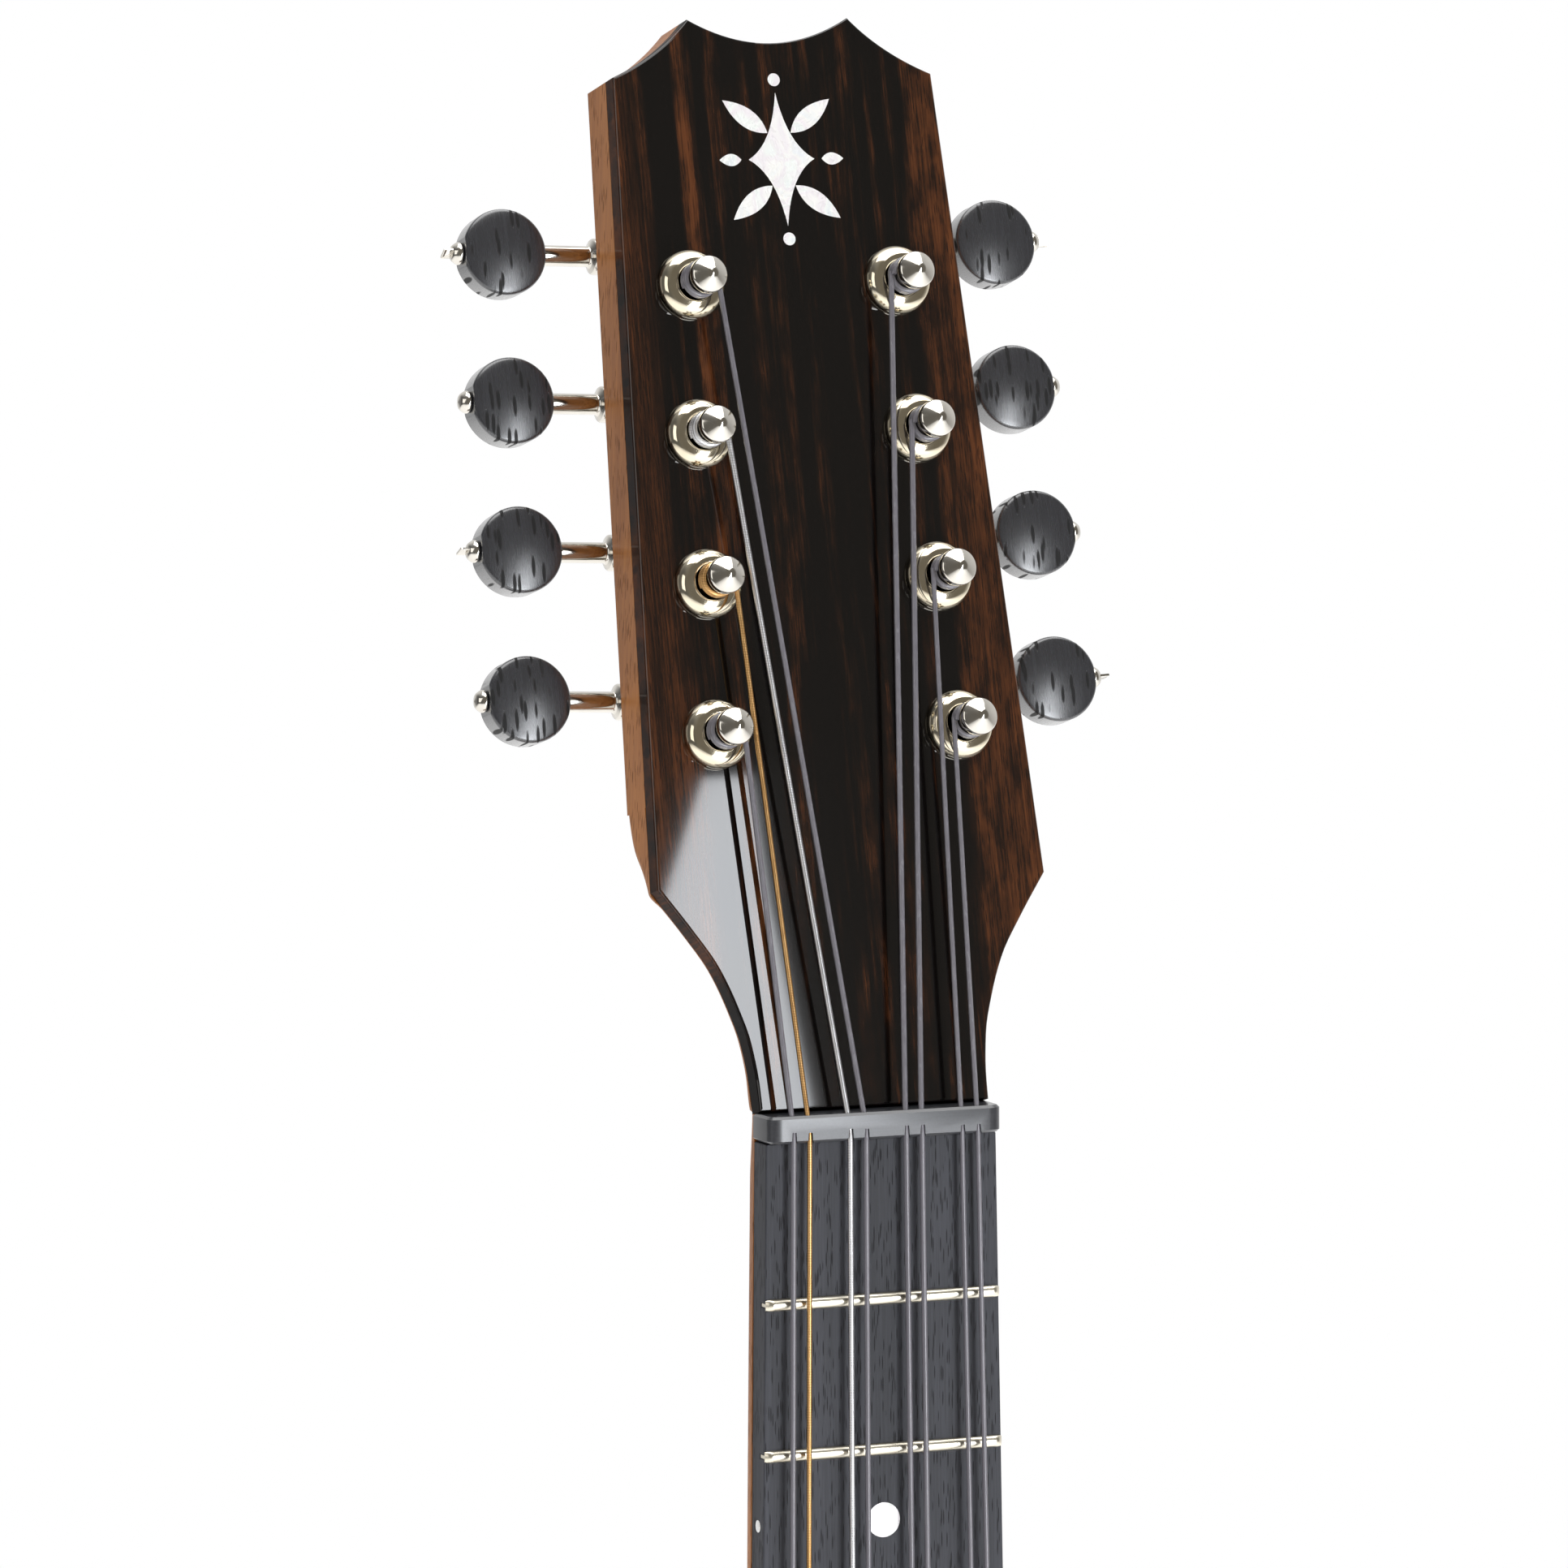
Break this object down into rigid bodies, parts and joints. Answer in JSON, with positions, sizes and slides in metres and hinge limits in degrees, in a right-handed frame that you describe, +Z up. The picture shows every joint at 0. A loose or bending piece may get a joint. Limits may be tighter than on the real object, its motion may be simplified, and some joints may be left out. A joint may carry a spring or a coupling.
{
  "type": "eight-string tenor ukulele",
  "caption": "Long-necked plucked lute with paired strings, a figure-eight body and a tilted head with open geared tuning keys.",
  "frame": {"origin": "middle of the neck between the two flares under the head, where a wall hanger holds it: 22 mm above the nut line and 9 mm behind the fingerboard face", "axes": "+Z up the neck to the head, +X to the right seen from the front, +Y from the strings to the back"},
  "size_m": [0.2288, 0.0865, 0.7118],
  "materials": {
    "mahogany": "satin clear finish",
    "striped_ebony": "dark brown-black striped wood under high gloss",
    "black_ebony": "near black, open pored, low sheen",
    "button_wood": "black, open pored, satin",
    "nut_black": "black synthetic, satin",
    "spruce": "pale straight grain under gloss",
    "lining_wood": "bare, sanded",
    "nickel": "polished nickel plate",
    "steel": "plain steel",
    "bone": "cream, satin",
    "string_clear": "clear extruded line",
    "string_gold": "fine wound wire, golden",
    "string_silver": "fine wound wire, silver",
    "pearl": "white shell, polished",
    "binding_black": "black edge strip, polished"
  },
  "bodies": {
    "instrument": {"headplate": "striped_ebony", "tuner_plate_left": "nickel", "bushing_left_1": "nickel", "bushing_left_2": "nickel", "bushing_left_3": "nickel", "bushing_left_4": "nickel", "tuner_plate_right": "nickel", "bushing_right_1": "nickel", "bushing_right_2": "nickel", "bushing_right_3": "nickel", "bushing_right_4": "nickel", "neck": "mahogany", "truss_rod": "steel", "fingerboard": "black_ebony", "string_1": "string_clear", "string_2": "string_gold", "string_3": "string_silver", "string_4": "string_clear", "string_5": "string_clear", "string_6": "string_clear", "string_7": "string_clear", "string_8": "string_clear", "nut": "nut_black", "soundboard": "spruce", "back": "striped_ebony", "sides": "striped_ebony", "top_lining": "lining_wood", "back_lining": "lining_wood", "neck_block": "mahogany", "tail_block": "mahogany", "top_bracing": "lining_wood", "bridge_plate": "lining_wood", "back_brace_1": "lining_wood", "back_brace_2": "lining_wood", "bridge": "black_ebony", "saddle": "bone"},
    "key_left_1": {"worm_shaft_left_1": "nickel", "button_left_1": "button_wood"},
    "spindle_left_1": {"post_left_1": "nickel"},
    "key_left_2": {"worm_shaft_left_2": "nickel", "button_left_2": "button_wood"},
    "spindle_left_2": {"post_left_2": "nickel"},
    "key_left_3": {"worm_shaft_left_3": "nickel", "button_left_3": "button_wood"},
    "spindle_left_3": {"post_left_3": "nickel"},
    "key_left_4": {"worm_shaft_left_4": "nickel", "button_left_4": "button_wood"},
    "spindle_left_4": {"post_left_4": "nickel"},
    "key_right_1": {"worm_shaft_right_1": "nickel", "button_right_1": "button_wood"},
    "spindle_right_1": {"post_right_1": "nickel"},
    "key_right_2": {"worm_shaft_right_2": "nickel", "button_right_2": "button_wood"},
    "spindle_right_2": {"post_right_2": "nickel"},
    "key_right_3": {"worm_shaft_right_3": "nickel", "button_right_3": "button_wood"},
    "spindle_right_3": {"post_right_3": "nickel"},
    "key_right_4": {"worm_shaft_right_4": "nickel", "button_right_4": "button_wood"},
    "spindle_right_4": {"post_right_4": "nickel"}
  },
  "joints": [
    {"name": "key_left_1_turn", "type": "hinge", "parent": "instrument", "child": "key_left_1", "pos_m": [-0.01954, 0.02523, 0.04187], "axis": [-0.9991, 0.01, 0.0407], "continuous": true},
    {"name": "spindle_left_1_turn", "type": "hinge", "parent": "instrument", "child": "spindle_left_1", "pos_m": [-0.01987, 0.00705, 0.03831], "axis": [0, -0.9711, 0.2385], "continuous": true},
    {"name": "key_left_2_turn", "type": "hinge", "parent": "instrument", "child": "key_left_2", "pos_m": [-0.01858, 0.03071, 0.06419], "axis": [-0.9991, 0.01, 0.0407], "continuous": true},
    {"name": "spindle_left_2_turn", "type": "hinge", "parent": "instrument", "child": "spindle_left_2", "pos_m": [-0.01891, 0.01253, 0.06062], "axis": [0, -0.9711, 0.2385], "continuous": true},
    {"name": "key_left_3_turn", "type": "hinge", "parent": "instrument", "child": "key_left_3", "pos_m": [-0.01762, 0.03619, 0.0865], "axis": [-0.9991, 0.01, 0.0407], "continuous": true},
    {"name": "spindle_left_3_turn", "type": "hinge", "parent": "instrument", "child": "spindle_left_3", "pos_m": [-0.01794, 0.01802, 0.08294], "axis": [0, -0.9711, 0.2385], "continuous": true},
    {"name": "key_left_4_turn", "type": "hinge", "parent": "instrument", "child": "key_left_4", "pos_m": [-0.01665, 0.04167, 0.10882], "axis": [-0.9991, 0.01, 0.0407], "continuous": true},
    {"name": "spindle_left_4_turn", "type": "hinge", "parent": "instrument", "child": "spindle_left_4", "pos_m": [-0.01698, 0.0235, 0.10526], "axis": [0, -0.9711, 0.2385], "continuous": true},
    {"name": "key_right_1_turn", "type": "hinge", "parent": "instrument", "child": "key_right_1", "pos_m": [0.01954, 0.02523, 0.04187], "axis": [0.9991, 0.01, 0.0407], "continuous": true},
    {"name": "spindle_right_1_turn", "type": "hinge", "parent": "instrument", "child": "spindle_right_1", "pos_m": [0.01987, 0.00705, 0.03831], "axis": [0, -0.9711, 0.2385], "continuous": true},
    {"name": "key_right_2_turn", "type": "hinge", "parent": "instrument", "child": "key_right_2", "pos_m": [0.01858, 0.03071, 0.06419], "axis": [0.9991, 0.01, 0.0407], "continuous": true},
    {"name": "spindle_right_2_turn", "type": "hinge", "parent": "instrument", "child": "spindle_right_2", "pos_m": [0.01891, 0.01253, 0.06062], "axis": [0, -0.9711, 0.2385], "continuous": true},
    {"name": "key_right_3_turn", "type": "hinge", "parent": "instrument", "child": "key_right_3", "pos_m": [0.01762, 0.03619, 0.0865], "axis": [0.9991, 0.01, 0.0407], "continuous": true},
    {"name": "spindle_right_3_turn", "type": "hinge", "parent": "instrument", "child": "spindle_right_3", "pos_m": [0.01794, 0.01802, 0.08294], "axis": [0, -0.9711, 0.2385], "continuous": true},
    {"name": "key_right_4_turn", "type": "hinge", "parent": "instrument", "child": "key_right_4", "pos_m": [0.01665, 0.04167, 0.10882], "axis": [0.9991, 0.01, 0.0407], "continuous": true},
    {"name": "spindle_right_4_turn", "type": "hinge", "parent": "instrument", "child": "spindle_right_4", "pos_m": [0.01698, 0.0235, 0.10526], "axis": [0, -0.9711, 0.2385], "continuous": true}
  ],
  "couplings": [
    {"joint": "spindle_left_1_turn", "follows": "key_left_1_turn", "ratio": -0.0625},
    {"joint": "spindle_left_2_turn", "follows": "key_left_2_turn", "ratio": -0.0625},
    {"joint": "spindle_left_3_turn", "follows": "key_left_3_turn", "ratio": -0.0625},
    {"joint": "spindle_left_4_turn", "follows": "key_left_4_turn", "ratio": -0.0625},
    {"joint": "spindle_right_1_turn", "follows": "key_right_1_turn", "ratio": 0.0625},
    {"joint": "spindle_right_2_turn", "follows": "key_right_2_turn", "ratio": 0.0625},
    {"joint": "spindle_right_3_turn", "follows": "key_right_3_turn", "ratio": 0.0625},
    {"joint": "spindle_right_4_turn", "follows": "key_right_4_turn", "ratio": 0.0625}
  ]
}
